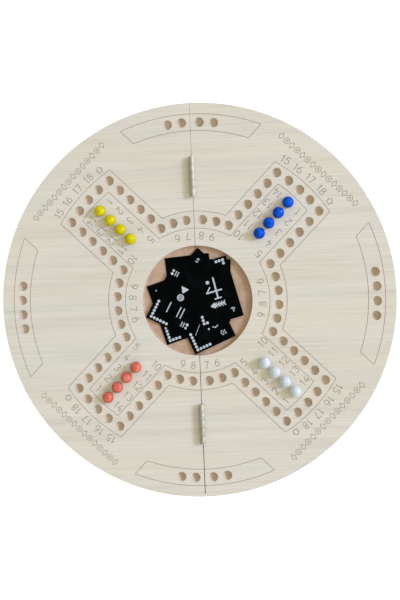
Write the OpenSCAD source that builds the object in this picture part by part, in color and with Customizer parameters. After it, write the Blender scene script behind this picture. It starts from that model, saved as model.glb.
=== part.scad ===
// Round folding game board for a four-player marble race driven by cards.
// Two wooden half discs are joined on the seam by two butt hinges, and fold top face to top face.
// Marbles stand in dimples in the four home lanes, and cards lie in the round tray.
// Origin: middle of the underside. +X points into the right half, +Y along the seam, +Z up.

/* [Board] */
// Diameter of the round board
board_d = 560; // [550:1:600]
// Thickness of each half
board_t = 18; // [18:0.5:24]
// Gap between the two halves along the seam
seam_gap = 0.6; // [0.4:0.1:1]
// Chamfer along the rim, top and bottom
rim_chamfer = 1; // [0.5:0.1:2]

/* [Card tray] */
// Diameter of the round tray
tray_d = 156; // [155:1:165]
// Depth of the tray below the top face
tray_depth = 6; // [5:0.5:12]

/* [Marbles and dimples] */
// Diameter of a marble
marble_d = 16; // [15:0.1:17]
// Diameter of a dimple
dimple_d = 13.5; // [12:0.1:14]
// Clearance between a marble and the rim of its dimple
marble_clearance = 0.2; // [0.1:0.05:0.3]

/* [Track] */
// Radius of the inner ring of holes
ring_r = 114.9; // [112:0.1:118]
// Radius of the arc of holes at the end of each arm
arm_end_r = 211.9; // [205:0.1:215]
// Distance of each row of holes from its arm's centreline
row_offset = 40; // [38:0.1:42]
// Holes in each row, with the corner holes at both ends
row_holes = 6; // [5:1:6]
// Holes along the end of each arm, with both corners
end_holes = 5; // [5:1:5]
// Distance of the first home hole from the board's centre
home_first_r = 129; // [126:0.1:130]
// Pitch of the home holes
home_pitch = 19.6; // [19:0.1:21]
// Radius of the base rows near the rim
base_r = 252.2; // [248:0.1:254]

/* [Hinges] */
// Length of a hinge along the seam
hinge_len = 55; // [50:1:60]
// Distance of each hinge's middle from the board's centre
hinge_y = 175.5; // [165:0.5:185]
// Height of a leaf below the top face
leaf_h = 15; // [12:0.5:16]
// Thickness of a leaf
leaf_t = 1.5; // [1:0.1:2]
// Outer radius of the knuckles
knuckle_r = 3.8; // [3.2:0.1:4]
// Radius of the hinge pin
pin_r = 1.7; // [1.5:0.1:2]
// Radial clearance of the pin in its knuckles
pin_clearance = 0.05; // [0.03:0.01:0.1]
// Gap between neighbouring knuckles
knuckle_gap = 0.2; // [0.1:0.05:0.4]

/* [Screws] */
// Diameter of a screw's shank
screw_d = 3; // [2.5:0.1:3.5]
// Diameter of a screw's head
screw_head_d = 5.6; // [5:0.1:6]
// Length of a screw
screw_len = 14; // [10:1:16]

/* [Cards] */
// Width of a card
card_w = 63.5; // [56:0.5:64]
// Height of a card
card_h = 88.9; // [80:0.1:90]
// Thickness of a card
card_t = 0.35; // [0.3:0.05:0.4]
// Space between one card and the next in the loose pile
card_gap = 0.12; // [0.1:0.02:0.2]

/* [Hidden] */
$fn = 96;
eps = 0.01;
colours = ["yellow", "blue", "white", "red"];
tints = ["gold", "royalblue", "whitesmoke", "tomato"];
marbles_each = 4;
hinges = ["upper", "lower"];
hinge_parts = ["left_leaf", "right_leaf", "pin", "left_screws", "right_screws"];
knuckles = 5;
screw_count = 3;

// Arms point along the diagonals, clockwise from the upper left, in the colours' order.
arm_angles = [135, 45, -45, -135];
// Angles of the holes on each side of the seam, from the seam, on the ring and in a base row.
seam_ring_angles = [5.9, 15.3];
seam_base_angles = [2.85, 7.45];
// The same from the left-right line, where no seam has to be cleared.
side_ring_angles = [5, 14.85];
side_base_angles = [2.35, 7];

// Cards from the bottom of the pile up: x, y and turn of each one.
card_places = [
    [-9.4, 20.4, 4.5],
    [-28.5, -10.1, 17],
    [15.8, 13.8, -2.6],
    [-6, 21.5, -45.5],
    [5.8, -23.6, 23],
    [-25.2, 2.9, -28.8],
    [23.2, 11.6, 14.5]
];

// A marble is wider than its dimple, which is half a ball, and rests on the dimple's rim.
seat_r = marble_d / 2 + marble_clearance;
marble_z = board_t + sqrt(seat_r * seat_r - dimple_d * dimple_d / 4);

tray_floor = board_t - tray_depth;
card_pitch = card_t + card_gap;

// Rows run from the arm's end arc to the ring, along the arm.
row_outer = sqrt(arm_end_r * arm_end_r - row_offset * row_offset);
row_inner = sqrt(ring_r * ring_r - row_offset * row_offset);
row_pitch = (row_outer - row_inner) / (row_holes - 1);
end_half_angle = asin(row_offset / arm_end_r);

axis_z = board_t + knuckle_r + knuckle_gap;
knuckle_len = (hinge_len - (knuckles - 1) * knuckle_gap) / knuckles;
leaf_fit = 0.05;
screw_fit = 0.05;
pin_head_r = 2.4;
pin_head_t = 0.8;
screw_spacing = hinge_len / 3;
screw_low = board_t - leaf_h + 5;
screw_high = screw_low + 4;
screw_head_t = 1.4;
recess_w = 0.7;
recess_depth = 0.8;

// Places of every dimple -----------------------------------------------------------------------

function polar(r, a) = [r * cos(a), r * sin(a)];

// A point at a distance along an arm and another to its left.
function on_arm(a, along, side) = polar(along, a) + polar(side, a + 90);

function row_places(a) = [
    for (side = [-row_offset, row_offset], i = [0:row_holes - 1])
        on_arm(a, row_outer - i * row_pitch, side)
];

function end_places(a) = [
    for (i = [1:end_holes - 2])
        polar(arm_end_r, a - end_half_angle + i * 2 * end_half_angle / (end_holes - 1))
];

function home_places(a) = [for (i = [0:marbles_each - 1]) polar(home_first_r + i * home_pitch, a)];

// Holes at both sides of one of the four main directions.
function paired_places(r, middle, angles) = [
    for (side = [-1, 1], a = angles) polar(r, middle + side * a)
];

places = concat(
    [for (a = arm_angles) each row_places(a)],
    [for (a = arm_angles) each end_places(a)],
    [for (a = arm_angles) each home_places(a)],
    [for (m = [90, -90]) each paired_places(ring_r, m, seam_ring_angles)],
    [for (m = [0, 180]) each paired_places(ring_r, m, side_ring_angles)],
    [for (m = [90, -90]) each paired_places(base_r, m, seam_base_angles)],
    [for (m = [0, 180]) each paired_places(base_r, m, side_base_angles)]
);

// Board ----------------------------------------------------------------------------------------

module disc() {
    rotate_extrude($fn = 240)
        polygon([
            [0, 0],
            [board_d / 2 - rim_chamfer, 0],
            [board_d / 2, rim_chamfer],
            [board_d / 2, board_t - rim_chamfer],
            [board_d / 2 - rim_chamfer, board_t],
            [0, board_t]
        ]);
}

// The space on one side of the seam: side is -1 for the left half and 1 for the right.
module half_space(side) {
    translate([side > 0 ? seam_gap / 2 : -board_d, -board_d, -board_t])
        cube([board_d - seam_gap / 2, 2 * board_d, 3 * board_t]);
}

module dimples(side) {
    for (p = places)
        if (p[0] * side > 0)
            translate([p[0], p[1], board_t]) sphere(d = dimple_d, $fn = 48);
}

// Shallow pocket in the seam face that takes a leaf.
module leaf_pocket(side) {
    depth = leaf_t + leaf_fit;
    translate([
        side > 0 ? seam_gap / 2 - eps : -seam_gap / 2 - depth,
        -hinge_len / 2 - leaf_fit,
        board_t - leaf_h - leaf_fit
    ])
        cube([depth + eps, hinge_len + 2 * leaf_fit, leaf_h + leaf_fit + eps]);
}

module board_half(side) {
    color("antiquewhite")
        difference() {
            intersection() {
                disc();
                half_space(side);
            }
            translate([0, 0, tray_floor]) cylinder(h = tray_depth + eps, d = tray_d, $fn = 180);
            dimples(side);
            for (y = [-hinge_y, hinge_y])
                translate([0, y, 0]) {
                    leaf_pocket(side);
                    at_screws(side) screw_bore();
                }
        }
}

// Hinges ---------------------------------------------------------------------------------------

function knuckle_y(i) = -hinge_len / 2 + i * (knuckle_len + knuckle_gap);

module along_y(y, length, radius) {
    translate([0, y, axis_z]) rotate([-90, 0, 0]) cylinder(h = length, r = radius);
}

// Three screw places in a shallow zigzag. A screw's own +Z is its head's outward direction.
module at_screws(side) {
    for (i = [0:screw_count - 1])
        translate([
            side * seam_gap / 2,
            (i - (screw_count - 1) / 2) * screw_spacing,
            i % 2 == 0 ? screw_low : screw_high
        ])
            rotate([0, -side * 90, 0]) children();
}

module screw_bore() {
    translate([0, 0, -screw_len - screw_fit]) cylinder(h = screw_len + 1, d = screw_d + 2 * screw_fit);
}

module leaf_countersink() {
    wide = screw_head_d / 2 + screw_fit;
    narrow = screw_d / 2 + screw_fit;
    translate([0, 0, -screw_head_t - screw_fit]) cylinder(h = screw_head_t, r1 = narrow, r2 = wide);
    translate([0, 0, -screw_fit - eps]) cylinder(h = 1, r = wide);
}

// The left leaf has the outer and middle knuckles, the right leaf the two between them.
module leaf(side) {
    first = side < 0 ? 0 : 1;
    wall_x = side > 0 ? seam_gap / 2 : -seam_gap / 2 - leaf_t;
    color("darkgray")
        difference() {
            union() {
                translate([wall_x, -hinge_len / 2, board_t - leaf_h]) cube([leaf_t, hinge_len, leaf_h]);
                for (i = [first:2:knuckles - 1]) {
                    translate([wall_x, knuckle_y(i), board_t - eps])
                        cube([leaf_t, knuckle_len, axis_z - board_t]);
                    along_y(knuckle_y(i), knuckle_len, knuckle_r);
                }
            }
            along_y(-hinge_len / 2 - 1, hinge_len + 2, pin_r + pin_clearance);
            at_screws(side) {
                screw_bore();
                leaf_countersink();
            }
        }
}

module pin() {
    color("silver")
        union() {
            along_y(-hinge_len / 2 - leaf_fit, hinge_len + 2 * leaf_fit, pin_r);
            along_y(-hinge_len / 2 - leaf_fit - pin_head_t, pin_head_t, pin_head_r);
            along_y(hinge_len / 2 + leaf_fit, pin_head_t, pin_head_r);
        }
}

module wood_screw() {
    tip = screw_d;
    difference() {
        union() {
            translate([0, 0, -screw_head_t - screw_fit])
                cylinder(h = screw_head_t, d1 = screw_d, d2 = screw_head_d);
            translate([0, 0, -screw_len + tip]) cylinder(h = screw_len - tip - screw_fit - eps, d = screw_d);
            translate([0, 0, -screw_len]) cylinder(h = tip, d1 = screw_d / 5, d2 = screw_d);
        }
        for (turn = [0, 90])
            rotate([0, 0, turn])
                translate([-screw_head_d / 3, -recess_w / 2, -screw_fit - recess_depth])
                    cube([screw_head_d * 2 / 3, recess_w, recess_depth + 1]);
    }
}

module screws(side) {
    color("gainsboro") at_screws(side) wood_screw();
}

module hinge_piece(piece) {
    if (piece == "left_leaf") leaf(-1);
    if (piece == "right_leaf") leaf(1);
    if (piece == "pin") pin();
    if (piece == "left_screws") screws(-1);
    if (piece == "right_screws") screws(1);
}

// Marbles and cards ----------------------------------------------------------------------------

module marble(arm, i) {
    p = home_places(arm_angles[arm])[i];
    color(tints[arm]) translate([p[0], p[1], marble_z]) sphere(d = marble_d, $fn = 64);
}

module card(i) {
    place = card_places[i];
    color([0.06, 0.06, 0.07])
        translate([place[0], place[1], tray_floor + card_gap + i * card_pitch])
            rotate([0, 0, place[2]])
                translate([-card_w / 2, -card_h / 2, 0])
                    cube([card_w, card_h, card_t]);
}

// Nodes ----------------------------------------------------------------------------------------

board_half(-1);  // board_left
board_half(1);  // board_right
for (h = hinges, p = hinge_parts)
    translate([0, h == "upper" ? hinge_y : -hinge_y, 0]) hinge_piece(p);
for (arm = [0:len(colours) - 1], i = [0:marbles_each - 1])
    marble(arm, i);
for (i = [0:len(card_places) - 1])
    card(i);
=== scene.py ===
"""Looks of the folding marble race board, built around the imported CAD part.

Shapes are worked out in millimetres in the part's frame, and become metres when a mesh is made.
"""
import math
import random

import bmesh
import bpy
import numpy as np
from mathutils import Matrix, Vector, kdtree
from mathutils.geometry import delaunay_2d_cdt


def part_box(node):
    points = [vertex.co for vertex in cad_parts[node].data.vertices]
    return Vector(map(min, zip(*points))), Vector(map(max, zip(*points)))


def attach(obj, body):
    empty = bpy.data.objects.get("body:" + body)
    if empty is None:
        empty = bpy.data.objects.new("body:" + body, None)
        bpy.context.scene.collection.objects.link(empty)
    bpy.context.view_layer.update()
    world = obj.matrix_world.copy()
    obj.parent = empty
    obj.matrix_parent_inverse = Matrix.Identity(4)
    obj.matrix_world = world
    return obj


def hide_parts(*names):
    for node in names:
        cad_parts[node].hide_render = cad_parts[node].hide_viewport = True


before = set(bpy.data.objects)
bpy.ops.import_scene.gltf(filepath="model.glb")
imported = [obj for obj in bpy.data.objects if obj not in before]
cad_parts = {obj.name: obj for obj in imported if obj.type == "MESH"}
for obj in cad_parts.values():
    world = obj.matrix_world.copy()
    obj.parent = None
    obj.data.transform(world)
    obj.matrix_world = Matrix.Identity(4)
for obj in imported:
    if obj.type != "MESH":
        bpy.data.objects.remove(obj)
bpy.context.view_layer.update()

# Sizes ----------------------------------------------------------------------------------------

MM = 0.001
board_low, board_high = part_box("board_right")
BOARD_R = board_high.y / MM
BOARD_T = board_high.z / MM
SEAM_X = board_low.x / MM  # half the gap between the two halves
SIDES = {"left": -1, "right": 1}
ARM_ANGLES = {"yellow": 135, "blue": 45, "white": -45, "red": -135}
SEAM_DIRECTIONS = (90, -90)
SIDE_DIRECTIONS = (0, 180)
MARBLES_EACH = 4

# Holes: the same layout as in the part's source.
RING_R = 114.9
ARM_END_R = 211.9
ROW_OFFSET = 40
ROW_HOLES = 6
END_HOLES = 5
HOME_FIRST_R = 129
HOME_PITCH = 19.6
BASE_R = 252.2
SEAM_RING_ANGLES = (5.9, 15.3)
SEAM_BASE_ANGLES = (2.85, 7.45)
SIDE_RING_ANGLES = (5, 14.85)
SIDE_BASE_ANGLES = (2.35, 7)
ROW_OUTER = math.sqrt(ARM_END_R**2 - ROW_OFFSET**2)
ROW_INNER = math.sqrt(RING_R**2 - ROW_OFFSET**2)
ROW_PITCH = (ROW_OUTER - ROW_INNER) / (ROW_HOLES - 1)
END_HALF_ANGLE = math.degrees(math.asin(ROW_OFFSET / ARM_END_R))

MARBLE_R = 8
DIMPLE_R = 6.75
DIMPLE_SOFT_R = 7.0  # where the softened edge of a dimple meets the top face
DIMPLE_SOFTENING = ((0, 0), (0.14, 0.06), (0.23, 0.2))  # steps inward and down
DIMPLE_WALL_TURN = 86  # degrees up the half ball, where its wall meets the softened edge
DIMPLE_WALL_RINGS = 12
DIMPLE_POINTS = 48
CUTTER_MARK_R = 0.8  # small cone that the cutter's tip leaves at the bottom of a dimple
CUTTER_MARK_DEPTH = 0.4

TRAY_R = 78
TRAY_DEPTH = 6
TRAY_FILLET = 3
TRAY_EDGE = 0.4  # chamfer round the tray's opening
RIM_ROUND = 1.0
SEAM_CHAMFER = 0.35
SEAM_SPREAD = 0.2  # how far each side of the seam stands closer at +Y, and further off at -Y
SEAM_SPREAD_REACH = 12  # distance from the seam where this shift has faded out

# Pockets in the seam faces for the hinge leaves, open at the top.
HINGE_Y = 175.5
HINGE_LENGTH = 55
LEAF_T = 1.5
LEAF_HEIGHT = 15
LEAF_FIT = 0.05  # clearance of a leaf in its pocket
LEAF_POCKET_DEPTH = LEAF_T + LEAF_FIT
LEAF_POCKET_LEVEL = BOARD_T - LEAF_HEIGHT - LEAF_FIT
LEAF_POCKET_HALF = HINGE_LENGTH / 2 + LEAF_FIT

# Engraving: grooves with sloping sides and a flat bottom.
LINE_HALF = 0.42
NUMBER_HALF = 0.54
GROOVE_FLAT = 0.48  # width of the flat bottom, as a share of the groove's
GROOVE_DEPTH = 0.32
DIGIT_HEIGHT = 10
DIGIT_WIDTH = 0.56  # as a share of the height
DIGIT_PITCH = 7.3  # between two digits of that height


# Layout ---------------------------------------------------------------------------------------


def polar(radius, degrees):
    a = math.radians(degrees)
    return np.array([radius * math.cos(a), radius * math.sin(a)])


def on_arm(arm, along, side):
    """A point at a distance along an arm and another to its left."""
    return polar(along, arm) + polar(side, arm + 90)


def main_directions(at_seam, at_sides):
    """Each of the four main directions with the pair of angles that belongs to it."""
    seams = [(m, at_seam) for m in SEAM_DIRECTIONS]
    return seams + [(m, at_sides) for m in SIDE_DIRECTIONS]


def hole_places():
    """The middles of all dimples: round the arms, in the home lanes, on the ring and the bases."""
    places = []
    for arm in ARM_ANGLES.values():
        for i in range(ROW_HOLES):
            for side in (-ROW_OFFSET, ROW_OFFSET):
                places.append(on_arm(arm, ROW_OUTER - i * ROW_PITCH, side))
        for i in range(1, END_HOLES - 1):
            turn = END_HALF_ANGLE * (2 * i / (END_HOLES - 1) - 1)
            places.append(polar(ARM_END_R, arm + turn))
        for i in range(MARBLES_EACH):
            places.append(polar(HOME_FIRST_R + i * HOME_PITCH, arm))
    for radius, at_seam, at_sides in (
        (RING_R, SEAM_RING_ANGLES, SIDE_RING_ANGLES),
        (BASE_R, SEAM_BASE_ANGLES, SIDE_BASE_ANGLES),
    ):
        for middle, angles in main_directions(at_seam, at_sides):
            for angle in angles:
                places.append(polar(radius, middle - angle))
                places.append(polar(radius, middle + angle))
    return places


# Strokes: lines of points that the engraving and the card prints are drawn with ----------------


def straight(start, end):
    return np.array([start, end], float)


def path(*corners):
    """Straight strokes from each corner to the next."""
    return [straight(a, b) for a, b in zip(corners[:-1], corners[1:])]


def arc(centre, rx, ry, start, end, step=12):
    """Points on an ellipse from one angle to another, in degrees."""
    count = max(3, math.ceil(abs(end - start) / step) + 1)
    a = np.radians(np.linspace(start, end, count))
    return np.array(centre, float) + np.column_stack((rx * np.cos(a), ry * np.sin(a)))


def board_arc(radius, start, end, spacing=3):
    """An arc about the board's centre, with its points about this far apart."""
    return arc((0, 0), radius, radius, start, end, step=math.degrees(spacing / radius))


def drawn_digits():
    """Single-line digits, one high, standing on y = 0 with their middle on x = 0."""
    w = DIGIT_WIDTH / 2
    hook = arc((0.25, 0.31), 0.25 + w, 0.69, 102, 180)
    six = [arc((0, 0.31), w, 0.31, 0, 360), hook]
    return {
        "0": [arc((0, 0.5), w, 0.5, 0, 360)],
        "1": path((-0.14, 0.8), (0.05, 1), (0.05, 0)),
        "2": [arc((0, 0.73), w, 0.27, 165, -35)] + path((w * 0.82, 0.575), (-w, 0), (w, 0)),
        "3": [arc((0, 0.76), w * 0.9, 0.24, 150, -90), arc((0, 0.26), w, 0.26, 90, -150)],
        "4": path((0.08, 1), (-w, 0.3), (w, 0.3)) + path((0.12, 0.55), (0.12, 0)),
        "5": (
            path((w * 0.9, 1), (-w * 0.75, 1), (-w * 0.85, 0.56))
            + [arc((-0.02, 0.32), w, 0.32, 135, -145)]
        ),
        "6": six,
        "7": path((-w, 1), (w, 1), (-w * 0.3, 0)),
        "8": [arc((0, 0.76), w * 0.82, 0.24, 0, 360), arc((0, 0.26), w, 0.26, 0, 360)],
        "9": [np.array([0, 1]) - stroke for stroke in six],
        "home": (
            path((-0.3, 0.46), (-0.3, 0), (0.3, 0), (0.3, 0.46))
            + path((-0.46, 0.4), (0, 0.86), (0.46, 0.4))
        ),
    }


DIGITS = drawn_digits()


def placed(strokes, height, at, up):
    """Strokes scaled to a height and centred on a point, with their top in the direction up."""
    up_axis = polar(1, up)
    right = polar(1, up - 90)
    return [at + height * (s[:, :1] * right + (s[:, 1:] - 0.5) * up_axis) for s in strokes]


def number(text, at, up, height=DIGIT_HEIGHT):
    """A number of one or two digits, or the word home for its sign."""
    signs = [text] if text in DIGITS else list(text)
    pitch = DIGIT_PITCH * height / DIGIT_HEIGHT
    right = polar(1, up - 90)
    strokes = []
    for i, sign in enumerate(signs):
        middle = at + right * pitch * (i - (len(signs) - 1) / 2)
        strokes += placed(DIGITS[sign], height, middle, up)
    return strokes


TRACK_LINES = (
    (102.8, 27.9, 199.8),  # ring radius, distance from the arm's centreline, end arc radius
    (127.0, 52.1, 224.0),
)
BASE_PANEL_RADII = (240.4, 264.0)
BASE_PANEL_ARM_GAP = 102.4  # how far the ends of a panel stay from the arms' centrelines
LANE_NUMBER_OFFSET = 19.2
LANE_NUMBER_SUM = 15  # what the two numbers on opposite sides of a lane add up to
RING_NUMBER_R = 92.3
END_NUMBER_R = 233.6
END_NUMBERS = {"15": 10.7, "16": 5.5, "17": 0, "18": -5.4, "home": -10.4}
BORDER_ALONG = 250.5
BORDER_HALF = 70
BORDER_SIGNS = 15
# Sizes of the border's signs, as shares of their height.
LOZENGE_HALF = 0.34
BORDER_RING_R = 0.4
BORDER_DOT_R = 0.12


def track_lines():
    """The two lines that run on both sides of the holes, round the four arms."""
    strokes = []
    for ring, offset, end in TRACK_LINES:
        at_ring = math.degrees(math.asin(offset / ring))
        at_end = math.degrees(math.asin(offset / end))
        for arm in ARM_ANGLES.values():
            strokes.append(board_arc(end, arm - at_end, arm + at_end))
            strokes.append(board_arc(ring, arm + at_ring, arm + 90 - at_ring))
            for side in (-1, 1):
                strokes.append(straight(
                    polar(ring, arm + side * at_ring), polar(end, arm + side * at_end)))
    return strokes


def base_panels():
    """The outlines round the four rows of base holes near the rim."""
    strokes = []
    halves = [45 - math.degrees(math.asin(BASE_PANEL_ARM_GAP / r)) for r in BASE_PANEL_RADII]
    for middle in SEAM_DIRECTIONS + SIDE_DIRECTIONS:
        for radius, half in zip(BASE_PANEL_RADII, halves):
            strokes.append(board_arc(radius, middle - half, middle + half))
        for side in (-1, 1):
            ends = [polar(r, middle + side * h) for r, h in zip(BASE_PANEL_RADII, halves)]
            strokes.append(straight(*ends))
    return strokes


def numbers():
    """The holes' numbers: in the lanes, beyond the arms' ends and inside the ring."""
    strokes = []
    for arm in ARM_ANGLES.values():
        for k in range(1, ROW_HOLES):
            along = ROW_OUTER - k * ROW_PITCH
            right = on_arm(arm, along, -LANE_NUMBER_OFFSET)
            left = on_arm(arm, along, LANE_NUMBER_OFFSET)
            strokes += number(str(k), right, arm + 180)
            strokes += number(str(LANE_NUMBER_SUM - k), left, arm + 180)
        for text, turn in END_NUMBERS.items():
            strokes += number(text, polar(END_NUMBER_R, arm + turn), arm + turn)
    for middle, (near, far) in main_directions(SEAM_RING_ANGLES, SIDE_RING_ANGLES):
        for text, turn in (("6", far), ("7", near), ("8", -near), ("9", -far)):
            place = polar(RING_NUMBER_R, middle + turn)
            strokes += number(text, place, middle + turn + 180)
    return strokes


def borders():
    """A plain row of lozenges and rings beyond the end of each arm."""
    lozenge = path((0, 0), (LOZENGE_HALF, 0.5), (0, 1), (-LOZENGE_HALF, 0.5), (0, 0))
    ring = [
        arc((0, 0.5), BORDER_RING_R, BORDER_RING_R, 0, 360, step=15),
        arc((0, 0.5), BORDER_DOT_R, BORDER_DOT_R, 0, 360, step=40),
    ]
    strokes = []
    for arm in ARM_ANGLES.values():
        for i in range(BORDER_SIGNS):
            side = BORDER_HALF * (2 * i / (BORDER_SIGNS - 1) - 1)
            sign = ring if i % 2 else lozenge
            strokes += placed(sign, DIGIT_HEIGHT, on_arm(arm, BORDER_ALONG, side), arm)
    return strokes


def engraving(side):
    """Groups of the strokes that reach one half, each with half the width of its grooves."""
    groups = (
        (track_lines() + base_panels() + borders(), LINE_HALF),
        (numbers(), NUMBER_HALF),
    )
    return [([s for s in strokes if (s[:, 0] * side).max() > SEAM_X], half)
            for strokes, half in groups]


# Flat triangulation ---------------------------------------------------------------------------

# Points that are closer than this become one, in a plan and in a mesh.
PLAN_MERGE = 1e-4
MESH_MERGE = 1e-3
CAP_POINTS = 4  # on each round end of a stroke's outline
SHARP_DEGREES = 30


def outline(line, half):
    """A closed ring of points round a stroke, with round ends."""
    along = np.gradient(line, axis=0)
    along /= np.linalg.norm(along, axis=1)[:, None]
    normal = np.column_stack((-along[:, 1], along[:, 0]))

    def cap(point, direction):
        start = math.degrees(math.atan2(direction[1], direction[0]))
        turns = np.linspace(start, start - 180, CAP_POINTS + 2)[1:-1]
        return [point + polar(half, t) for t in turns]

    left = line + normal * half
    right = (line - normal * half)[::-1]
    return np.vstack((left, cap(line[-1], normal[-1]), right, cap(line[0], -normal[0])))


class Plan:
    """Points and edges in the plane, for one triangulation that keeps every edge."""

    def __init__(self):
        self.points = []
        self.edges = []

    def add(self, line, closed=False):
        first = len(self.points)
        count = len(line)
        self.points += [Vector(p) for p in line]
        self.edges += [(first + i, first + i + 1) for i in range(count - 1)]
        if closed:
            self.edges.append((first + count - 1, first))

    def triangles(self):
        found = delaunay_2d_cdt(self.points, self.edges, [], 0, PLAN_MERGE)
        return np.array([v[:] for v in found[0]]), np.array(found[2])


class Shell:
    """Vertices and faces gathered for one mesh, in millimetres."""

    def __init__(self):
        self.vertices = []
        self.faces = []
        self.materials = []
        self.known = {}

    def vertex(self, point, key=None):
        """The index of a new vertex, or of the one that was made with the same key."""
        if key is not None and key in self.known:
            return self.known[key]
        self.vertices.append(tuple(float(c) for c in point))
        if key is not None:
            self.known[key] = len(self.vertices) - 1
        return len(self.vertices) - 1

    def face(self, corners, material):
        self.faces.append(corners)
        self.materials.append(material)

    def mesh(self, name, materials):
        """A welded mesh with outward normals, smooth apart from its sharp edges."""
        mesh = bpy.data.meshes.new(name)
        mesh.from_pydata([Vector(v) * MM for v in self.vertices], [], self.faces)
        mesh.polygons.foreach_set("material_index", self.materials)
        for material in materials:
            mesh.materials.append(material)
        work = bmesh.new()
        work.from_mesh(mesh)
        bmesh.ops.remove_doubles(work, verts=work.verts, dist=MESH_MERGE * MM)
        bmesh.ops.recalc_face_normals(work, faces=work.faces)
        work.to_mesh(mesh)
        work.free()
        mesh.shade_smooth()
        mesh.set_sharp_from_angle(angle=math.radians(SHARP_DEGREES))
        return mesh


def tree_of(points):
    """A search tree over points in the plane."""
    tree = kdtree.KDTree(len(points))
    for i, (x, y) in enumerate(points):
        tree.insert((x, y, 0), i)
    tree.balance()
    return tree


def distances(tree, points):
    """How far each point is from the nearest one in the tree."""
    return np.array([tree.find((x, y, 0))[2] for x, y in points])


def dense(strokes, spacing=0.12):
    """Points close together along strokes."""
    found = []
    for line in strokes:
        steps = np.linalg.norm(np.diff(line, axis=0), axis=1)
        for start, end, length in zip(line[:-1], line[1:], steps):
            count = max(1, math.ceil(length / spacing))
            shares = np.arange(count + 1)[:, None] / count
            found.append(start + (end - start) * shares)
    return np.vstack(found)


# Objects --------------------------------------------------------------------------------------


def new_object(name, data):
    made = bpy.data.objects.new(name, data)
    bpy.context.scene.collection.objects.link(made)
    return made


def declare(piece, body, replaced):
    """The piece rides on a body and stands for a CAD node, which is hidden."""
    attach(piece, body)
    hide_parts(replaced)


# Material helpers -----------------------------------------------------------------------------


def new_material(name):
    """A material with its shader and its node tree."""
    material = bpy.data.materials.new(name)
    material.use_nodes = True
    tree = material.node_tree
    return material, tree, tree.nodes["Principled BSDF"]


def is_socket(value):
    return isinstance(value, bpy.types.NodeSocket)


def plug(tree, made, inputs):
    """Puts a link or a value on each of a node's inputs that is named."""
    for key, value in inputs.items():
        if is_socket(value):
            tree.links.new(value, made.inputs[key])
        else:
            made.inputs[key].default_value = value


def node(tree, kind, inputs, **settings):
    made = tree.nodes.new("ShaderNode" + kind)
    for name, value in settings.items():
        setattr(made, name, value)
    plug(tree, made, inputs)
    return made


def place_of(tree):
    """A point's place on its object, in metres."""
    return node(tree, "TexCoord", {}).outputs["Object"]


def stretched(tree, place, sizes_mm):
    """Texture coordinates in which one unit is this many millimetres along each axis."""
    scale = [1 / (size * MM) for size in sizes_mm]
    return node(tree, "Mapping", {"Vector": place, "Scale": scale}).outputs["Vector"]


def noise(tree, vector, detail=3, roughness=0.5, distortion=0):
    inputs = {
        "Vector": vector,
        "Scale": 1,
        "Detail": detail,
        "Roughness": roughness,
        "Distortion": distortion,
    }
    return node(tree, "TexNoise", inputs).outputs["Fac"]


def ramp(tree, value, stops):
    """Colours, or greys from plain numbers, along a value."""
    made = node(tree, "ValToRGB", {"Fac": value})
    elements = made.color_ramp.elements
    while len(elements) < len(stops):
        elements.new(0.5)
    for element, (position, colour) in zip(elements, stops):
        grey = isinstance(colour, (int, float))
        element.position = position
        element.color = (colour, colour, colour, 1) if grey else (*colour, 1)
    return made.outputs["Color"]


def mixed(tree, factor, a, b, kind="MIX"):
    """Two colours mixed by a factor: a colour mix has them on its sockets 6, 7 and 0."""
    first, second = [c if is_socket(c) else (*c, 1) for c in (a, b)]
    inputs = {0: factor, 6: first, 7: second}
    return node(tree, "Mix", inputs, data_type="RGBA", blend_type=kind).outputs[2]


def shaded(tree, colour, value, stops):
    """A colour made darker or lighter by greys along a value."""
    return mixed(tree, 1.0, colour, ramp(tree, value, stops), "MULTIPLY")


def maths(tree, operation, *values):
    return node(tree, "Math", dict(enumerate(values)), operation=operation).outputs[0]


def bumped(tree, shader, height, depth_mm, strength):
    inputs = {"Height": height, "Distance": depth_mm * MM, "Strength": strength}
    plug(tree, shader, {"Normal": node(tree, "Bump", inputs).outputs["Normal"]})


# Materials ------------------------------------------------------------------------------------

# Colours are linear red, green and blue.
VENEER_PALE = (0.641, 0.61, 0.539)
VENEER_WARM = (0.648, 0.605, 0.512)
VENEER_COOL = (0.624, 0.604, 0.53)
CORE_PALE = (0.52, 0.375, 0.275)
CORE_BROWN = (0.42, 0.28, 0.19)
# The core's colours made paler for the dimples only: painted light in the dimples, which are the
# same fibre core as the tray.
DIMPLE_PAINTED_LIGHT_PALE = (0.6, 0.51, 0.41)
DIMPLE_PAINTED_LIGHT_BROWN = (0.51, 0.415, 0.315)
BURNT = (0.27, 0.235, 0.19)
BURNT_PALE = (0.42, 0.37, 0.3)
VENEER_T = 0.55


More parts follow.
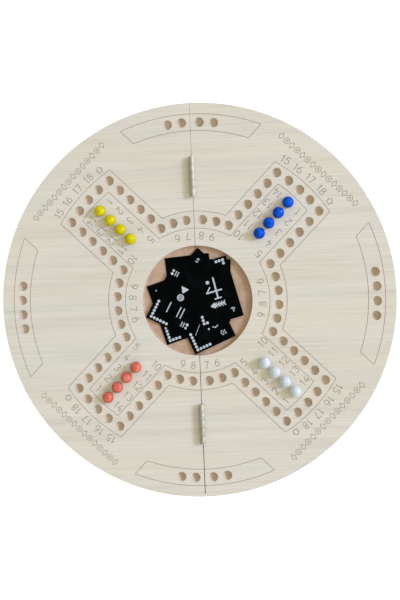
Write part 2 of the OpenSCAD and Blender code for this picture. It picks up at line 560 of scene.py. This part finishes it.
def veneer_colour(tree, place):
    """Pale maple with its grain along X: its colour, and its fibres and pores as a height."""
    bands = noise(
        tree, stretched(tree, place, (420, 13, 60)), detail=4, roughness=0.55, distortion=0.4)
    tints = noise(tree, stretched(tree, place, (300, 34, 60)), detail=2)
    fibres = noise(tree, stretched(tree, place, (60, 0.7, 8)), detail=4, roughness=0.65)
    flecks = noise(tree, stretched(tree, place, (9, 0.35, 3)), detail=2, roughness=0.6)
    pores = noise(tree, stretched(tree, place, (2.6, 0.16, 1)), detail=1)
    lines = noise(tree, stretched(tree, place, (190, 1.7, 20)), detail=3, distortion=0.5)
    warm = mixed(tree, ramp(tree, tints, [(0.4, 0), (0.62, 1)]), VENEER_PALE, VENEER_WARM)
    cool = ramp(tree, tints, [(0.3, 1), (0.46, 0)])
    colour = mixed(tree, cool, warm, VENEER_COOL)
    for pattern, stops in (
        (bands, [(0.34, 0.955), (0.6, 1.03)]),
        (fibres, [(0.3, 0.93), (0.62, 1.03)]),
        (flecks, [(0.28, 0.88), (0.36, 1.0)]),
        (pores, [(0.27, 0.8), (0.34, 1.0)]),
        (lines, [(0.4, 0.95), (0.56, 1.015)]),
    ):
        colour = shaded(tree, colour, pattern, stops)
    return colour, maths(tree, "MINIMUM", fibres, pores)


def veneer():
    material, tree, shader = new_material("maple_veneer")
    colour, fibres = veneer_colour(tree, place_of(tree))
    plug(tree, shader, {
        "Base Color": colour,
        "Roughness": ramp(tree, fibres, [(0.3, 0.5), (0.7, 0.62)]),
        "Specular IOR Level": 0.35,
    })
    bumped(tree, shader, fibres, depth_mm=0.03, strength=0.5)
    return material


def core(name, pale, deep):
    """Pressed fibre core, with the veneer at the top and bottom of the board's edge."""
    material, tree, shader = new_material(name)
    place = place_of(tree)
    face_colour, _ = veneer_colour(tree, place)
    grains = noise(tree, stretched(tree, place, (0.9, 0.9, 0.9)), detail=5, roughness=0.7)
    blotches = noise(tree, stretched(tree, place, (14, 14, 14)), detail=2)
    brown = mixed(tree, ramp(tree, grains, [(0.35, 0), (0.68, 1)]), deep, pale)
    brown = shaded(tree, brown, blotches, [(0.3, 0.9), (0.7, 1.12)])
    height = node(tree, "SeparateXYZ", {"Vector": place}).outputs["Z"]
    middle = BOARD_T * MM / 2
    from_middle = maths(tree, "ABSOLUTE", maths(tree, "SUBTRACT", height, middle))
    in_veneer = maths(tree, "GREATER_THAN", from_middle, middle - VENEER_T * MM)
    colour = mixed(tree, in_veneer, brown, face_colour)
    plug(tree, shader, {"Base Color": colour, "Roughness": 0.8, "Specular IOR Level": 0.25})
    bumped(tree, shader, grains, depth_mm=0.08, strength=0.5)
    return material


def burnt_groove():
    """Wood that the engraving has burnt brown, unevenly."""
    material, tree, shader = new_material("burnt_engraving")
    place = place_of(tree)
    soot = noise(tree, stretched(tree, place, (2.5, 2.5, 2.5)), detail=4, roughness=0.7)
    colour = mixed(tree, ramp(tree, soot, [(0.3, 0), (0.75, 1)]), BURNT, BURNT_PALE)
    plug(tree, shader, {"Base Color": colour, "Roughness": 0.85})
    bumped(tree, shader, soot, depth_mm=0.05, strength=0.5)
    return material


# Board ----------------------------------------------------------------------------------------

VENEER, CORE, DIMPLE_PAINTED_LIGHT, BURNT_GROOVE = range(4)  # the material slots of a half; the third is the fibre core made paler in the dimples, painted light


def ring_radii(outer, rounding, turns):
    """Radii of the rings across a quarter round that ends at the outer radius."""
    return [outer - rounding * (1 - math.sin(math.radians(t))) for t in turns]


RIM_RINGS = ring_radii(BOARD_R, RIM_ROUND, (0, 22.5, 45, 67.5, 90))
RIM_SPACING = 4
TRAY_RINGS = ring_radii(TRAY_R, TRAY_FILLET, (0, 30, 60, 90))
TRAY_RINGS += [TRAY_R + TRAY_EDGE / 2, TRAY_R + TRAY_EDGE]
TRAY_SPACING = 2.5
PAST_RIM = 1  # how far the lines along the seam run on past the rim
# Margins that decide on which side of an outline the middle of a triangle or an edge is.
DIMPLE_MARGIN = 0.02
DIMPLE_EDGE_MARGIN = 0.1
GROOVE_MARGIN = 0.005


def half_ring(side, radius, spacing):
    """Half a circle on one side of the seam, with both ends on the seam's edge."""
    reach = 90 - math.degrees(math.asin(SEAM_X / radius))
    middle = 0 if side > 0 else 180
    return board_arc(radius, middle - reach, middle + reach, spacing)


def add_edges(plan, side):
    """The outline of half a disc, with the lines of its rounded rim and its seam chamfer."""
    for radius in RIM_RINGS:
        plan.add(half_ring(side, radius, RIM_SPACING))
    for x in (SEAM_X, SEAM_X + SEAM_CHAMFER):
        plan.add([(side * x, -BOARD_R - PAST_RIM), (side * x, BOARD_R + PAST_RIM)])


def edge_depth(points):
    """How far the rounded rim and the seam chamfer take a point below the flat face."""
    past = np.hypot(*points.T) - (BOARD_R - RIM_ROUND)
    rim = RIM_ROUND - np.sqrt(np.clip(RIM_ROUND**2 - np.clip(past, 0, RIM_ROUND) ** 2, 0, None))
    seam = np.clip(SEAM_X + SEAM_CHAMFER - np.abs(points[:, 0]), 0, SEAM_CHAMFER)
    return np.maximum(rim, seam)


def tray_height(points):
    """The level of the tray's floor and of the fillet round it."""
    past = np.clip(np.hypot(*points.T) - (TRAY_R - TRAY_FILLET), 0, TRAY_FILLET)
    rise = TRAY_FILLET - np.sqrt(TRAY_FILLET**2 - past**2)
    return BOARD_T - TRAY_DEPTH + rise


def dimple_profile():
    """Radius and depth of each ring of a dimple, from its soft edge down into its half ball."""
    profile = [(DIMPLE_SOFT_R - inward, down) for inward, down in DIMPLE_SOFTENING]
    low = math.asin(CUTTER_MARK_R / DIMPLE_R)
    for turn in np.linspace(math.radians(DIMPLE_WALL_TURN), low, DIMPLE_WALL_RINGS):
        profile.append((DIMPLE_R * math.sin(turn), DIMPLE_R * math.cos(turn)))
    return profile


def add_dimple(shell, centre):
    """A half ball with a small cone at its bottom."""
    rings = []
    for radius, depth in dimple_profile():
        ring = arc(centre, radius, radius, 0, 360, step=360 / DIMPLE_POINTS)[:-1]
        rings.append([shell.vertex((x, y, BOARD_T - depth)) for x, y in ring])
    for outer, inner in zip(rings[:-1], rings[1:]):
        for i in range(DIMPLE_POINTS):
            j = (i + 1) % DIMPLE_POINTS
            # the dimple's faces take the core colour made paler, painted light
            shell.face((outer[i], outer[j], inner[j], inner[i]), DIMPLE_PAINTED_LIGHT)
    bottom = shell.vertex((*centre, BOARD_T - DIMPLE_R - CUTTER_MARK_DEPTH))
    for i in range(DIMPLE_POINTS):
        shell.face((rings[-1][i], rings[-1][(i + 1) % DIMPLE_POINTS], bottom), DIMPLE_PAINTED_LIGHT)


def top_plan(side, holes, grooves):
    """Every outline on the top of one half."""
    plan = Plan()
    add_edges(plan, side)
    for radius in TRAY_RINGS:
        plan.add(half_ring(side, radius, TRAY_SPACING))
    for centre in holes:
        ring = arc(centre, DIMPLE_SOFT_R, DIMPLE_SOFT_R, 0, 360, step=360 / DIMPLE_POINTS)
        plan.add(ring[:-1], closed=True)
    for y in (-HINGE_Y, HINGE_Y):
        wall = side * (SEAM_X + LEAF_POCKET_DEPTH)
        low = y - LEAF_POCKET_HALF
        high = y + LEAF_POCKET_HALF
        plan.add([(side * SEAM_X, low), (wall, low), (wall, high), (side * SEAM_X, high)])
    for strokes, half in grooves:
        for stroke in strokes:
            plan.add(outline(stroke, half), closed=True)
            plan.add(outline(stroke, half * GROOVE_FLAT), closed=True)
    return plan


def cut_grooves(points, centres, grooves):
    """How deep each point lies in a groove, and which triangles are in one."""
    depths = np.zeros(len(points))
    engraved = np.zeros(len(centres), bool)
    for strokes, half in grooves:
        tree = tree_of(dense(strokes))
        slope = (1 - distances(tree, points) / half) / (1 - GROOVE_FLAT)
        depths = np.maximum(depths, GROOVE_DEPTH * np.clip(slope, 0, 1))
        engraved |= distances(tree, centres) < half - GROOVE_MARGIN
    return depths, engraved


def board_half(side):
    """Half of the board: engraved top, tray, dimples, leaf pockets, rounded edges and underside."""
    holes = [p for p in hole_places() if p[0] * side > 0]
    grooves = engraving(side)
    points, triangles = top_plan(side, holes, grooves).triangles()
    centres = points[triangles].mean(axis=1)

    hole_tree = tree_of(holes)
    radii = np.hypot(*centres.T)
    from_seam = centres[:, 0] * side - SEAM_X
    in_hole = distances(hole_tree, centres) < DIMPLE_SOFT_R - DIMPLE_MARGIN
    kept = (from_seam > 0) & (radii < BOARD_R) & ~in_hole
    in_tray = radii < TRAY_R
    across = np.abs(np.abs(centres[:, 1]) - HINGE_Y) < LEAF_POCKET_HALF
    in_pocket = across & (from_seam < LEAF_POCKET_DEPTH)
    regions = np.where(in_tray, "tray", np.where(in_pocket, "pocket", "top"))

    groove_depths, engraved = cut_grooves(points, centres, grooves)
    tray_edge = np.clip(TRAY_R + TRAY_EDGE - np.hypot(*points.T), 0, TRAY_EDGE)
    edges = edge_depth(points)
    heights = {
        "top": BOARD_T - np.maximum.reduce([groove_depths, tray_edge, edges]),
        "tray": tray_height(points) - edges,
        "pocket": np.full(len(points), LEAF_POCKET_LEVEL),
        "middle": np.full(len(points), LEAF_POCKET_LEVEL),  # where the outer walls are divided
        "bottom": edges,
    }

    shell = Shell()

    def corner(index, region):
        return shell.vertex((*points[index], heights[region][index]), (index, region))

    def column(index, upper, lower):
        """The corners down one end of a wall, with one more where the tray's floor meets it."""
        corners = [corner(index, upper), corner(index, lower)]
        if (upper, lower) == ("top", "middle") and (index, "tray") in shell.known:
            corners.insert(1, corner(index, "tray"))
        return corners

    def wall(a, b, upper, lower):
        shell.face(column(a, upper, lower) + column(b, upper, lower)[::-1], CORE)

    sides = {}  # the triangle on the left of each directed edge
    for t in np.flatnonzero(kept):
        a, b, c = triangles[t]
        for start, end in ((a, b), (b, c), (c, a)):
            sides[start, end] = t
        shell.face([corner(i, regions[t]) for i in (a, b, c)],
                   face_material(regions[t], engraved[t], radii[t], from_seam[t]))
    outer_edges = []
    for (start, end), t in sides.items():
        other = sides.get((end, start))
        if other is None:
            middle = (points[start] + points[end]) / 2
            if hole_tree.find((*middle, 0))[2] > DIMPLE_SOFT_R + DIMPLE_EDGE_MARGIN:
                outer_edges.append((start, end))
                if regions[t] != "pocket":
                    wall(start, end, regions[t], "middle")
                wall(start, end, "middle", "bottom")
        elif regions[t] == "top" and regions[other] != "top":
            wall(start, end, "top", regions[other])
    for centre in holes:
        add_dimple(shell, centre)
    add_underside(shell, side, points, outer_edges)
    spread_seam(shell, side)
    return shell


def face_material(region, engraved, radius, from_seam):
    """A triangle's material: the veneer ends where the rounded and chamfered edges begin."""
    if region != "top":
        return CORE
    if engraved:
        return BURNT_GROOVE
    on_round_edge = radius > BOARD_R - RIM_ROUND or radius < TRAY_R + TRAY_EDGE
    return CORE if on_round_edge or from_seam < SEAM_CHAMFER else VENEER


def add_underside(shell, side, outline_points, outer_edges):
    """The flat underside, inside the same outline as the top."""
    plan = Plan()
    add_edges(plan, side)
    for edge in outer_edges:
        plan.add([outline_points[i] for i in edge])
    points, triangles = plan.triangles()
    depths = edge_depth(points)
    for triangle in triangles:
        middle = points[triangle].mean(axis=0)
        if middle[0] * side > SEAM_X and math.hypot(*middle) < BOARD_R:
            corners = [shell.vertex((*points[i], depths[i]), (i, "underside")) for i in triangle]
            shell.face(corners[::-1], VENEER)


def spread_seam(shell, side):
    """The seam is nearly shut at the +Y end and more open at the -Y end."""
    for i, (x, y, z) in enumerate(shell.vertices):
        share = max(0, 1 - (abs(x) - SEAM_X) / SEAM_SPREAD_REACH)
        shell.vertices[i] = (x - side * SEAM_SPREAD * share * y / BOARD_R, y, z)


def build_board():
    """Both halves, in place of the CAD's plain ones."""
    materials = [
        veneer(),
        core("fibre_core", CORE_PALE, CORE_BROWN),
        # the same fibre core, made paler as painted light for the dimples
        core("fibre_core_painted_light", DIMPLE_PAINTED_LIGHT_PALE, DIMPLE_PAINTED_LIGHT_BROWN),
        burnt_groove(),
    ]
    for name, side in SIDES.items():
        node_name = f"board_{name}"
        mesh = board_half(side).mesh(f"engraved_{node_name}", materials)
        piece = new_object(f"engraved_{node_name}", mesh)
        declare(piece, f"{name}_half", node_name)
        shading = piece.modifiers.new("flat_faces_shade_flat", "WEIGHTED_NORMAL")
        shading.keep_sharp = True


# Marbles --------------------------------------------------------------------------------------

MARBLE_SUBDIVISIONS = 6
MARBLE_CHIPS = 5
# Shares of the marble's radius.
CHIP_WIDTHS = (0.02, 0.05)
CHIP_DEPTH = 0.003
OUT_OF_ROUND = 0.0015


def marble_mesh(name, material, seed):
    """A glass ball, slightly out of round, with a few small chips from use."""
    pick = random.Random(seed)
    work = bmesh.new()
    bmesh.ops.create_icosphere(work, subdivisions=MARBLE_SUBDIVISIONS, radius=MARBLE_R * MM)
    chips = []
    for _ in range(MARBLE_CHIPS):
        direction = Vector([pick.gauss(0, 1) for _ in range(3)]).normalized()
        chips.append((direction, pick.uniform(*CHIP_WIDTHS)))
    stretch = Vector([pick.uniform(-OUT_OF_ROUND, OUT_OF_ROUND) for _ in range(3)])
    for vertex in work.verts:
        direction = vertex.co.normalized()
        size = 1 + sum(stretch[i] * direction[i] ** 2 for i in range(3))
        for place, width in chips:
            away = (direction - place).length / width
            if away < 1:
                size -= CHIP_DEPTH * (1 - away * away)
        vertex.co = direction * MARBLE_R * MM * min(size, 1.0)
    mesh = bpy.data.meshes.new(name)
    work.to_mesh(mesh)
    work.free()
    mesh.materials.append(material)
    mesh.shade_smooth()
    return mesh


GLASS_COLOURS = {
    # deep, middle and light colour, share of the light that scatters inside, tint of the skin
    "yellow": ((0.61, 0.53, 0.0), (0.69, 0.63, 0.003), (0.75, 0.71, 0.03), 0.4, (0.86, 0.82, 0.5)),
    "blue": ((0.002, 0.1, 0.64), (0.004, 0.19, 0.97), (0.012, 0.3, 1.0), 0.1, (0.35, 0.48, 0.66)),
    "white": ((0.51, 0.57, 0.6), (0.57, 0.64, 0.69), (0.62, 0.69, 0.76), 0.7, (1, 1, 1)),
    "red": ((0.59, 0.18, 0.12), (0.7, 0.29, 0.21), (0.79, 0.48, 0.37), 0.45, (0.86, 0.6, 0.58)),
}
GLASS_SCATTER_MM = 4  # how far light goes inside, times these shares for red, green and blue
GLASS_SCATTER = (1.0, 0.8, 0.7)
GLASS_SPECULAR = 0.14
GLASS_SKIN_IOR = 1.1
GLASS_SKIN_ROUGHNESS = 0.1


def glass(colour):
    """Opaque swirled glass with a thin glossy skin."""
    deep, middle, light, inside, tint = GLASS_COLOURS[colour]
    material, tree, shader = new_material(f"{colour}_glass")
    place = place_of(tree)
    swirl = noise(tree, stretched(tree, place, (14, 14, 9)), detail=1, distortion=1.2)
    clouds = noise(tree, stretched(tree, place, (5, 5, 5)), detail=2, roughness=0.4, distortion=0.5)
    swirled = ramp(tree, swirl, [(0.3, deep), (0.5, middle), (0.7, light)])
    clouded = shaded(tree, swirled, clouds, [(0.3, 0.96), (0.7, 1.03)])
    wear = noise(tree, stretched(tree, place, (1.2, 1.2, 1.2)), detail=3)
    plug(tree, shader, {
        "Base Color": clouded,
        "Roughness": ramp(tree, wear, [(0.3, 0.18), (0.7, 0.28)]),
        "Subsurface Weight": inside,
        "Subsurface Radius": GLASS_SCATTER,
        "Subsurface Scale": GLASS_SCATTER_MM * MM,
        "Specular IOR Level": GLASS_SPECULAR,
        "Coat Weight": 1,
        "Coat Roughness": GLASS_SKIN_ROUGHNESS,
        "Coat IOR": GLASS_SKIN_IOR,
        "Coat Tint": (*tint, 1),
    })
    bumped(tree, shader, wear, depth_mm=0.003, strength=0.1)
    return material


def build_marbles():
    for colour_index, colour in enumerate(ARM_ANGLES):
        material = glass(colour)
        for i in range(1, MARBLES_EACH + 1):
            node_name = f"{colour}_marble_{i}"
            low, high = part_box(node_name)
            seed = 10 * colour_index + i
            name = f"{colour}_glass_marble_{i}"
            piece = new_object(name, marble_mesh(name, material, seed))
            piece.location = (low + high) / 2
            pick = random.Random(seed)
            piece.rotation_euler = [pick.uniform(0, 2 * math.pi) for _ in range(3)]
            declare(piece, node_name, node_name)


# Cards ----------------------------------------------------------------------------------------

CARD_W = 63.5
CARD_H = 88.9
CARD_T = 0.35
CARD_GAP = 0.12
CARD_STEP = CARD_T + CARD_GAP
CARD_CORNER = 0.8
CARD_CELLS = (8, 11)  # the grid across and along a card that lets it bend
CARD_BEND = 0.3  # how far the lowest card stands up at CARD_BEND_REACH from the board's middle
CARD_BEND_MORE = 0.04  # and how much more each card above it
CARD_BEND_REACH = 60
# Middle and turn of each card, from the bottom of the pile up.
CARD_PLACES = (
    (-9.4, 20.4, 4.5),
    (-28.5, -10.1, 17),
    (15.8, 13.8, -2.6),
    (-6, 21.5, -45.5),
    (5.8, -23.6, 23),
    (-25.2, 2.9, -28.8),
    (23.2, 11.6, 14.5),
)
CARD, INK = range(2)  # the material slots of a card
CARD_BLACK = (0.0006, 0.001, 0.0012)
CARD_RUBBED = (0.0025, 0.003, 0.0034)
INK_THIN = (0.3, 0.35, 0.4)
INK_FULL = (0.52, 0.59, 0.67)
# Prints: places and sizes in millimetres from the middle of the card, with its long side up.
CHAIN_CORNER = (-25.6, -39.8)
CHAIN_PITCH = 4.8
CHAIN_DOT_R = 2.1
DOT_HALF = 0.01  # half the length of the short stroke that a dot is drawn with
INK_SPACING = 0.2


def rounded_card():
    corners = []
    for sx, sy, start in ((1, 1, 0), (-1, 1, 90), (-1, -1, 180), (1, -1, 270)):
        middle = (sx * (CARD_W / 2 - CARD_CORNER), sy * (CARD_H / 2 - CARD_CORNER))
        corners.append(arc(middle, CARD_CORNER, CARD_CORNER, start, start + 90, step=22.5))
    return np.vstack(corners)


def bar(start, end, width):
    """A straight mark: its stroke and its half width."""
    return straight(start, end), width / 2


def dot(x, y, radius):
    return bar((x - DOT_HALF, y), (x + DOT_HALF, y), 2 * radius)


def upright_number(text, at, height, width):
    return [(stroke, width / 2) for stroke in number(text, np.array(at), 90, height)]


def turned(marks):
    """The same marks turned half way round the middle of the card."""
    return [(-stroke, half) for stroke, half in marks]


def both_ways(marks):
    return marks + turned(marks)


def chain(up, along):
    """An L of dots in the lower left corner, with this many up and this many along."""
    x, y = CHAIN_CORNER
    dots = [dot(x, y + i * CHAIN_PITCH, CHAIN_DOT_R) for i in range(up)]
    return dots + [dot(x + i * CHAIN_PITCH, y, CHAIN_DOT_R) for i in range(1, along)]


def arrow_row():
    """An arrow to the left with a row of chevrons on its shaft."""
    y = -19.2
    tip_x = -9.4
    marks = [bar((-6, y), (11, y), 2)]
    marks += [bar((tip_x + i, y - 0.6 * i), (tip_x + i, y + 0.6 * i), 1.3) for i in range(1, 7)]
    for tip in (-3.2, 0.8, 4.8, 8.8):
        marks.append(bar((tip, y), (tip + 3, y + 3), 1.5))
        marks.append(bar((tip, y), (tip + 3, y - 3), 1.5))
    return marks


def open_four():
    """A large 4 with a dot beside it."""
    return [
        bar((4.9, 19), (4, -10.4), 2.3),
        bar((-9.6, 0.2), (12, 0.2), 2.1),
        bar((-9.6, 0.2), (-3.2, 7.2), 1.7),
        bar((-0.4, -10.5), (8.6, -10.5), 1.9),
        dot(-4.4, 14.8, 2.6),
    ]


def small_four():
    """The index of the top card."""
    return [
        bar((-22.6, 30), (-17.4, 29.6), 1.1),
        bar((-19.4, 28.4), (-20, 35), 1),
        bar((-20, 35), (-22.6, 30), 0.4),
    ]


def counter_and_bars():
    """A hatched ring and a wedge over one bar and two bars."""
    ring_y = 2.6
    wedge_y = 9.6
    ring = [(arc((0, ring_y), 4.3, 4.3, 0, 360, step=20), 0.7)]
    wedge = [bar((-0.62 * i, wedge_y + i), (0.62 * i, wedge_y + i), 1.3) for i in range(1, 9)]
    hatch = [bar((-3.4, ring_y + y), (3.4, ring_y + y), 0.62) for y in (-2.2, -1.1, 0, 1.1, 2.2)]
    bars = [bar((x, -9.4), (x, -24.2), 1.5) for x in (-9, 7, 12.4)]
    return ring + hatch + wedge + bars


def dots_and_bars():
    """The index of a card with a counter: two dots and two bars."""
    return [
        dot(-25.8, 33, 1.8),
        dot(-25.8, 28, 2.1),
        bar((-21.3, 27.2), (-21.3, 33.6), 1.3),
        bar((-18, 27.2), (-18, 33.6), 1.3),
    ]


def card_prints():
    """The marks on the cards, from the bottom of the pile up."""
    return [
        both_ways(chain(5, 5)),
        both_ways(chain(5, 4) + [dot(-21, 34.3, 1)]) + counter_and_bars(),
        both_ways(chain(5, 3)),
        both_ways(chain(4, 4) + upright_number("5", (-19.5, 31), 6, 0.9)) + counter_and_bars(),
        both_ways(chain(6, 5) + upright_number("10", (-18.9, 32.4), 6.2, 0.9)) + [
            bar((-19.6, -19.8), (-7.6, -8), 0.7),
            dot(1.3, -19.5, 1.4),
            bar((7.5, -18.8), (10.6, -21.4), 1.2),
            bar((10.6, -21.4), (15.2, -19.8), 1.2),
        ],
        both_ways(chain(6, 6) + dots_and_bars()) + counter_and_bars(),
        chain(3, 2) + turned(chain(2, 3) + small_four()) + open_four() + arrow_row(),
    ]


def is_inked(points, prints):
    """Which points lie in a mark."""
    inked = np.zeros(len(points), bool)
    for stroke, half in prints:
        samples = dense([stroke], INK_SPACING)
        away = np.linalg.norm(points[:, None] - samples[None], axis=2).min(axis=1)
        inked |= away < half
    return inked


def card_mesh(index, prints, materials):
    """A thin card with its top face cut along the prints, bent up a little towards its corners."""
    plan = Plan()
    plan.add(rounded_card(), closed=True)
    across, along = CARD_CELLS
    for x in np.linspace(-CARD_W / 2, CARD_W / 2, across + 1)[1:-1]:
        plan.add([(x, -CARD_H / 2), (x, CARD_H / 2)])
    for y in np.linspace(-CARD_H / 2, CARD_H / 2, along + 1)[1:-1]:
        plan.add([(-CARD_W / 2, y), (CARD_W / 2, y)])
    for stroke, half in prints:
        plan.add(outline(stroke, half), closed=True)
    points, triangles = plan.triangles()
    inked = is_inked(points[triangles].mean(axis=1), prints)

    x, y, turn = CARD_PLACES[index]
    right = polar(1, turn)
    up = polar(1, turn + 90)
    flat = points[:, :1] * right + points[:, 1:] * up + (x, y)
    bend = (CARD_BEND + CARD_BEND_MORE * index) * (np.hypot(*flat.T) / CARD_BEND_REACH) ** 2
    low = BOARD_T - TRAY_DEPTH + CARD_GAP + index * CARD_STEP + bend
    levels = {"under": low, "top": low + CARD_T}
    shell = Shell()

    def corner(i, level):
        return shell.vertex((*flat[i], levels[level][i]), (i, level))

    edges = set()
    for triangle, ink in zip(triangles, inked):
        shell.face([corner(i, "top") for i in triangle], INK if ink else CARD)
        shell.face([corner(i, "under") for i in triangle[::-1]], CARD)
        edges.update(zip(triangle, np.roll(triangle, -1)))
    for a, b in edges:
        if (b, a) not in edges:
            wall = [corner(a, "top"), corner(a, "under"), corner(b, "under"), corner(b, "top")]
            shell.face(wall, CARD)
    return shell.mesh(f"printed_card_{index + 1}", materials)


def black_card():
    """Satin card, a little paler where it has been rubbed."""
    material, tree, shader = new_material("black_card")
    place = place_of(tree)
    grain = noise(tree, stretched(tree, place, (0.6, 0.6, 0.6)), detail=3)
    rubbed = noise(tree, stretched(tree, place, (18, 18, 18)), detail=4, roughness=0.6)
    colour = mixed(tree, ramp(tree, rubbed, [(0.45, 0), (0.75, 1)]), CARD_BLACK, CARD_RUBBED)
    plug(tree, shader, {
        "Base Color": colour,
        "Roughness": ramp(tree, rubbed, [(0.3, 0.36), (0.7, 0.5)]),
        "Specular IOR Level": 0.02,
    })
    bumped(tree, shader, grain, depth_mm=0.01, strength=0.4)
    return material


def white_ink():
    """Ink that has worn thin in specks."""
    material, tree, shader = new_material("white_ink")
    place = place_of(tree)
    specks = noise(tree, stretched(tree, place, (0.7, 0.7, 0.7)), detail=4, roughness=0.7)
    colour = mixed(tree, ramp(tree, specks, [(0.3, 0), (0.6, 1)]), INK_THIN, INK_FULL)
    plug(tree, shader, {"Base Color": colour, "Roughness": 0.5})
    bumped(tree, shader, specks, depth_mm=0.01, strength=0.4)
    return material


def build_cards():
    materials = [black_card(), white_ink()]
    for index, prints in enumerate(card_prints()):
        name = f"card_{index + 1}"
        piece = new_object(f"printed_{name}", card_mesh(index, prints, materials))
        declare(piece, name, name)


# Hinges ---------------------------------------------------------------------------------------

STEELS = {
    # colour, lowest and highest roughness
    "leaf": ((0.46, 0.43, 0.36), 0.58, 0.68),
    "pin": ((0.52, 0.49, 0.42), 0.36, 0.46),
    "screw": ((0.6, 0.58, 0.54), 0.3, 0.42),
}
STEEL_METALLIC = 0.6
STAIN_SHADE = 0.82
HINGE_PARTS = {
    "left_leaf": "leaf",
    "right_leaf": "leaf",
    "pin": "pin",
    "left_screws": "screw",
    "right_screws": "screw",
}
SAME_POINT = 0.005  # vertices of a hinge part that are closer than this become one
SOFT_EDGE = 0.12
SOFT_EDGE_ANGLE = 35


def steel(kind):
    """Dull steel, brushed along Y and stained in places."""
    colour, low, high = STEELS[kind]
    material, tree, shader = new_material(f"{kind}_steel")
    place = place_of(tree)
    brushed = noise(tree, stretched(tree, place, (0.3, 12, 0.3)), detail=3, roughness=0.5)
    stains = noise(tree, stretched(tree, place, (7, 7, 7)), detail=3)
    stained = [c * STAIN_SHADE for c in colour]
    base = mixed(tree, ramp(tree, stains, [(0.35, 0), (0.7, 1)]), colour, stained)
    plug(tree, shader, {
        "Base Color": base,
        "Metallic": STEEL_METALLIC,
        "Roughness": ramp(tree, brushed, [(0.3, low), (0.7, high)]),
    })
    bumped(tree, shader, brushed, depth_mm=0.004, strength=0.3)
    return material


def weld(piece, name):
    modifier = piece.modifiers.new(name, "WELD")
    modifier.merge_threshold = SAME_POINT * MM


def dress_hinges():
    """The CAD's own hinge parts, with steel materials and softened edges."""
    materials = {kind: steel(kind) for kind in STEELS}
    for hinge in ("upper", "lower"):
        for part, kind in HINGE_PARTS.items():
            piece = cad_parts[f"{hinge}_hinge_{part}"]
            piece.data.materials.clear()
            piece.data.materials.append(materials[kind])
            weld(piece, "weld")
            bevel = piece.modifiers.new("soft_edges", "BEVEL")
            bevel.width = SOFT_EDGE * MM
            bevel.segments = 2
            bevel.limit_method = "ANGLE"
            bevel.angle_limit = math.radians(SOFT_EDGE_ANGLE)
            if kind == "screw":  # the bevel leaves slivers in the screws' small recesses
                weld(piece, "rejoin")


# Studio ---------------------------------------------------------------------------------------

CAMERA_PLACE = (0.0576, 0.0182, 1.0097)
CAMERA_TURN = (-1.005, 3.10, -2.30)  # degrees about X, Y and Z: it looks almost straight down
CAMERA_LENS_MM = 42
CAMERA_SENSOR_MM = 36
CAMERA_CLIP = (0.05, 20)
LIGHT_AZIMUTH = 13
SUN_ELEVATION = 30
SUN_STRENGTH = 2.7
SUN_COLOUR = (0.6, 0.69, 1.0)
SUN_WIDTH = 13  # degrees
WINDOW_ELEVATION = 16
WINDOW_WATTS = 18
WINDOW_SIZE = 0.8
WINDOW_DISTANCE = 2.0
FILL_LEFT = (0.5, 0.455, 0.35)  # the room is darker and warmer on the side away from the window
FILL_RIGHT = (1.17, 1.14, 0.98)
FLOOR_REACH = 20
FLOOR_CELLS = 40
FLOOR_GLOW = (0.86, 0.93, 1, 1)
FLOOR_GLOW_STRENGTH = 0.5


def toward_light(elevation):
    """The direction to a light at the azimuth that both lights share."""
    level = polar(math.cos(math.radians(elevation)), LIGHT_AZIMUTH)
    return Vector((*level, math.sin(math.radians(elevation))))


def build_camera():
    camera = new_object("camera", bpy.data.cameras.new("camera"))
    camera.location = CAMERA_PLACE
    camera.rotation_mode = "ZYX"
    camera.rotation_euler = [math.radians(a) for a in CAMERA_TURN]
    camera.data.lens = CAMERA_LENS_MM
    camera.data.sensor_width = CAMERA_SENSOR_MM
    camera.data.clip_start, camera.data.clip_end = CAMERA_CLIP
    bpy.context.scene.camera = camera


def build_lights():
    """A low soft sun, and a bright pane that shows only in glossy surfaces."""
    sun = new_object("key", bpy.data.lights.new("key", "SUN"))
    sun.data.energy = SUN_STRENGTH
    sun.data.color = SUN_COLOUR
    sun.data.angle = math.radians(SUN_WIDTH)
    sun.rotation_euler = toward_light(SUN_ELEVATION).to_track_quat("Z", "Y").to_euler()

    window = new_object("window", bpy.data.lights.new("window", "AREA"))
    window.data.energy = WINDOW_WATTS
    window.data.size = WINDOW_SIZE
    window.location = toward_light(WINDOW_ELEVATION) * WINDOW_DISTANCE
    window.rotation_euler = window.location.to_track_quat("Z", "Y").to_euler()
    window.visible_diffuse = False


def build_room():
    """Even light from all round, which changes from one side of the room to the other."""
    world = bpy.data.worlds.new("studio")
    world.use_nodes = True
    tree = world.node_tree
    sky = node(tree, "TexCoord", {}).outputs["Generated"]
    across = node(tree, "SeparateXYZ", {"Vector": sky}).outputs["X"]
    share = maths(tree, "MULTIPLY_ADD", across, 0.5, 0.5)
    fill = ramp(tree, share, [(0, FILL_LEFT), (1, FILL_RIGHT)])
    plug(tree, tree.nodes["Background"], {"Color": fill, "Strength": 1})
    bpy.context.scene.world = world
    bpy.context.scene.view_settings.view_transform = "Standard"


def build_floor():
    """A large plain sheet under the board, which glows a little so that it burns out to white."""
    work = bmesh.new()
    bmesh.ops.create_grid(
        work, x_segments=FLOOR_CELLS, y_segments=FLOOR_CELLS, size=FLOOR_REACH)
    mesh = bpy.data.meshes.new("floor")
    work.to_mesh(mesh)
    work.free()
    material, tree, shader = new_material("floor_paper")
    place = place_of(tree)
    fibres = noise(tree, stretched(tree, place, (1.5, 1.5, 1.5)), detail=4)
    plug(tree, shader, {
        "Base Color": ramp(tree, fibres, [(0.3, 0.93), (0.7, 0.96)]),
        "Roughness": 0.9,
        "Emission Color": FLOOR_GLOW,
        "Emission Strength": FLOOR_GLOW_STRENGTH,
    })
    mesh.materials.append(material)
    floor = new_object("floor", mesh)


build_camera()
build_lights()
build_room()
build_floor()
build_board()
build_marbles()
build_cards()
dress_hinges()
